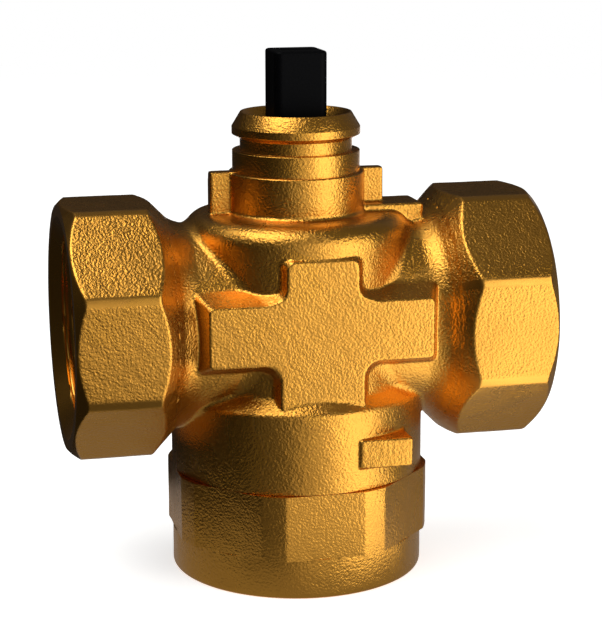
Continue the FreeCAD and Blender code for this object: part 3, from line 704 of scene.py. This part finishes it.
# The key lamp low on the right with a dimmer one beside it, the top lamp high on the left, and a fill
# over everything: bearing, height angle, distance, size, brightness, whether the metal reflects it, and
# whether it is turned to the valve or straight down
LAMPS = (
    ("key", 41.5, 15.5, 0.6, (0.45, 0.425), KEY, True, True),
    ("side", 4.5, 15.5, 0.6, (0.355, 0.425), 0.6, True, True),
    ("top", -72.5, 63.8, 0.98, (0.72, 0.80), 3.4, True, False),
    ("fill", 0, 90, 1.5, (2.4, 2.4), 0.7, False, True))


def towards(bearing, height):
    """The direction that a bearing and a height angle give."""
    bearing, height = math.radians(bearing), math.radians(height)
    return Vector((math.sin(bearing) * math.cos(height), -math.cos(bearing) * math.cos(height),
                   math.sin(height)))


def swept(name, profile, start, end, steps=48):
    """A profile of (distance, height) carried round the upright axis from one bearing to another."""
    bearings = np.radians(np.linspace(start, end, steps + 1))
    profile = np.array(profile)
    grid = np.empty((len(profile), steps + 1, 3))
    grid[..., 0] = profile[:, :1] * np.sin(bearings)
    grid[..., 1] = -profile[:, :1] * np.cos(bearings)
    grid[..., 2] = profile[:, 1:]
    i, j = np.arange(len(profile) - 1)[:, None] * (steps + 1), np.arange(steps)[None, :]
    corners = np.stack(np.broadcast_arrays(i + j, i + j + 1, i + j + steps + 2, i + j + steps + 1), axis=-1)
    mesh = bpy.data.meshes.new(name)
    mesh.from_pydata(grid.reshape(-1, 3).tolist(), [], corners.reshape(-1, 4).tolist())
    piece = bpy.data.objects.new(name, mesh)
    bpy.context.scene.collection.objects.link(piece)
    return piece


def surround():
    """A white world where the camera, metal and glass see it, and a dim one that lights the rest."""
    world = bpy.data.worlds.new("studio")
    bpy.context.scene.world = world
    world.use_nodes = True
    tree = world.node_tree
    path = add(tree, "LightPath")
    seen = add(tree, "Math", {0: path.outputs["Is Camera Ray"], 1: path.outputs["Is Glossy Ray"]},
               operation="MAXIMUM")
    seen = add(tree, "Math", {0: seen.outputs[0], 1: path.outputs["Is Transmission Ray"]},
               operation="MAXIMUM")
    level = add(tree, "MapRange", {0: seen.outputs[0]}, in_3=SURROUND, in_4=1.0)
    tree.nodes["Background"].inputs["Color"].default_value = (1, 1, 1, 1)
    tree.links.new(level.outputs[0], tree.nodes["Background"].inputs["Strength"])
    world.cycles.sampling_method = "NONE"


def floor():
    """A pale floor: lit near the valve, where its shadow falls, and brought up to white further out."""
    disc = swept("floor", [(0.0, 0.0), (0.3, 0.0), (1.0, 0.0), (FLOOR_REACH, 0.0)], -180, 180, steps=96)
    material = bpy.data.materials.new("pale_floor")
    material.use_nodes = True
    tree = material.node_tree
    shader = tree.nodes["Principled BSDF"]
    shader.inputs["Roughness"].default_value = 0.9
    shader.inputs["Specular IOR Level"].default_value = 0.0
    shader.inputs["Emission Color"].default_value = (1, 1, 1, 1)
    reach = add(tree, "VectorMath", {0: add(tree, "TexCoord").outputs["Object"]}, operation="LENGTH")
    away = add(tree, "MapRange", {0: reach.outputs["Value"]}, in_1=FLOOR_FADE[0],
               in_2=FLOOR_FADE[1], interpolation_type="SMOOTHSTEP")
    tone = add(tree, "Mix", {0: away.outputs[0]}, data_type="RGBA", in_6=colour("D8D8D6"),
               in_7=(0, 0, 0, 1))
    tree.links.new(tone.outputs[2], shader.inputs["Base Color"])
    glow = add(tree, "MapRange", {0: away.outputs[0]}, in_3=0.7, in_4=1.0)
    tree.links.new(glow.outputs[0], shader.inputs["Emission Strength"])
    material.cycles.emission_sampling = "NONE"
    disc.data.materials.append(material)


def card(name, start, end, profile, brightness):
    """A glowing card that only reflections see."""
    piece = swept(name, profile, start, end)
    material = bpy.data.materials.new(name)
    material.use_nodes = True
    tree = material.node_tree
    tree.nodes.clear()
    glow = add(tree, "Emission", in_Strength=brightness)
    add(tree, "OutputMaterial", {"Surface": glow.outputs[0]})
    material.cycles.emission_sampling = "NONE"
    piece.data.materials.append(material)
    piece.visible_camera = piece.visible_diffuse = piece.visible_shadow = piece.visible_transmission = False


def lamp(name, bearing, height, distance, size, brightness, reflected, turned_in):
    """A soft rectangular lamp."""
    light = bpy.data.lights.new(name, "AREA")
    light.shape = "RECTANGLE"
    light.size, light.size_y = size
    light.energy = brightness * math.pi * size[0] * size[1]
    holder = bpy.data.objects.new(name, light)
    way = towards(bearing, height)
    holder.location = Vector((0, 0, AXIS_HEIGHT * MM)) + way * distance
    if turned_in:
        holder.rotation_euler = (-way).to_track_quat("-Z", "Y").to_euler()
    holder.visible_glossy = reflected
    bpy.context.scene.collection.objects.link(holder)


def camera():
    """The camera, where the photograph was taken from."""
    away = towards(CAMERA_BEARING, CAMERA_HEIGHT)
    level = (-away).cross(Vector((0, 0, 1))).normalized()
    upright = level.cross(-away)
    c, s = math.cos(math.radians(CAMERA_ROLL)), math.sin(math.radians(CAMERA_ROLL))
    right, up = c * level + s * upright, -s * level + c * upright
    place = Vector((0, 0, AXIS_HEIGHT * MM)) + away * CAMERA_DISTANCE
    lens = bpy.data.cameras.new("camera")
    lens.sensor_fit = "VERTICAL"
    lens.sensor_height = SENSOR_HEIGHT
    lens.lens = LENS
    lens.shift_x, lens.shift_y = SHIFT
    lens.clip_start = 0.01
    lens.clip_end = 20.0
    holder = bpy.data.objects.new("camera", lens)
    holder.matrix_world = Matrix(((right.x, up.x, away.x, place.x), (right.y, up.y, away.y, place.y),
                                  (right.z, up.z, away.z, place.z), (0, 0, 0, 1)))
    bpy.context.scene.collection.objects.link(holder)
    bpy.context.scene.camera = holder


bpy.context.scene.view_settings.view_transform = "Standard"
surround()
floor()
for entry in CARDS:
    card(*entry)
for entry in LAMPS:
    lamp(*entry)
camera()
